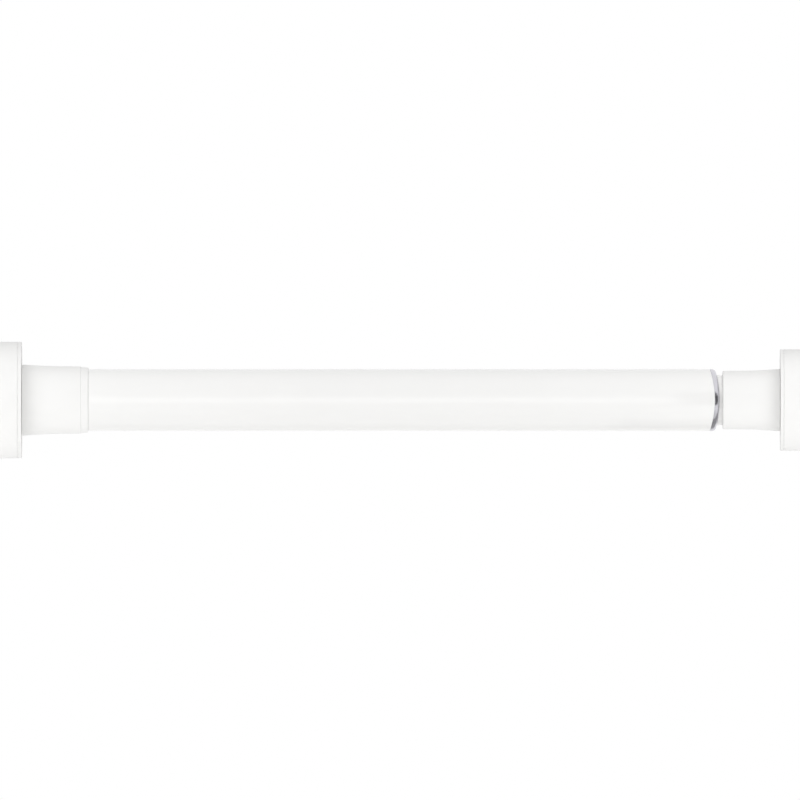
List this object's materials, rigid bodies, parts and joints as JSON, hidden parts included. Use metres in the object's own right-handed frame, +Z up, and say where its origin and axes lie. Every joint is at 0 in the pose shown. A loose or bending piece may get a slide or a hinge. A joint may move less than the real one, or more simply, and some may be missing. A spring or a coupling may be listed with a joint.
{
  "type": "extendable shower curtain rod",
  "caption": "Spring-loaded telescopic shower curtain rod in white, with a bright ring at the mouth of its wide tube and a round swivelling wall foot at each end.",
  "frame": {"origin": "centre of the left foot's wall face, on the rod's axis", "axes": "+X along the rod from the left wall to the right wall, +Y away from the bather's side, +Z up"},
  "size_m": [0.4173, 0.06, 0.06],
  "materials": {
    "white_coated_steel": "smooth satin powder coat",
    "white_moulding": "satin moulded",
    "foot_rubber": "fine matt",
    "bright_ring": "polished",
    "guide_nylon": "natural",
    "lock_moulding": "moulded",
    "cam_moulding": "moulded",
    "zinc_steel": "bright zinc",
    "spring_wire": "drawn wire"
  },
  "bodies": {
    "left_foot": {"left_pad": "foot_rubber", "left_flange": "white_moulding", "left_swivel_screw": "zinc_steel", "left_swivel_washer": "zinc_steel"},
    "outer_tube": {"left_collar": "white_moulding", "outer_tube": "white_coated_steel", "mouth_ring": "bright_ring", "mouth_bush": "guide_nylon"},
    "inner_tube": {"inner_tube": "white_coated_steel", "guide_plug": "guide_nylon", "spring_washer": "zinc_steel", "right_collar": "white_moulding"},
    "lock_spindle": {"spindle": "zinc_steel", "eccentric_hub": "lock_moulding", "cam_washer": "zinc_steel", "cam_screw": "zinc_steel", "tension_spring": "spring_wire", "stop_washer": "zinc_steel", "stop_nut": "zinc_steel"},
    "cam_ring": {"cam_ring": "cam_moulding"},
    "right_foot": {"right_pad": "foot_rubber", "right_flange": "white_moulding", "right_swivel_screw": "zinc_steel", "right_swivel_washer": "zinc_steel"}
  },
  "joints": [
    {"name": "tube_twist", "type": "hinge", "parent": "left_foot", "child": "outer_tube", "pos_m": [0.0158, 0, 0], "axis": [1, 0, 0], "range_deg": [0, 50]},
    {"name": "length_slide", "type": "slide", "parent": "left_foot", "child": "inner_tube", "axis": [1, 0, 0], "range_m": [0, 0.165]},
    {"name": "right_swivel", "type": "hinge", "parent": "inner_tube", "child": "right_foot", "pos_m": [0.4031, 0, 0], "axis": [1, 0, 0], "continuous": true},
    {"name": "spring_travel", "type": "slide", "parent": "inner_tube", "child": "lock_spindle", "axis": [1, 0, 0], "range_m": [0, 0.025], "stiffness_N_per_m": 1200, "springref_m": -0.012, "deforming": ["tension_spring"]},
    {"name": "cam_swing", "type": "hinge", "parent": "lock_spindle", "child": "cam_ring", "pos_m": [0.0602, 0, 0.001], "axis": [1, 0, 0], "range_deg": [0, 50]}
  ],
  "couplings": [
    {"joint": "cam_swing", "follows": "tube_twist", "ratio": 1}
  ]
}
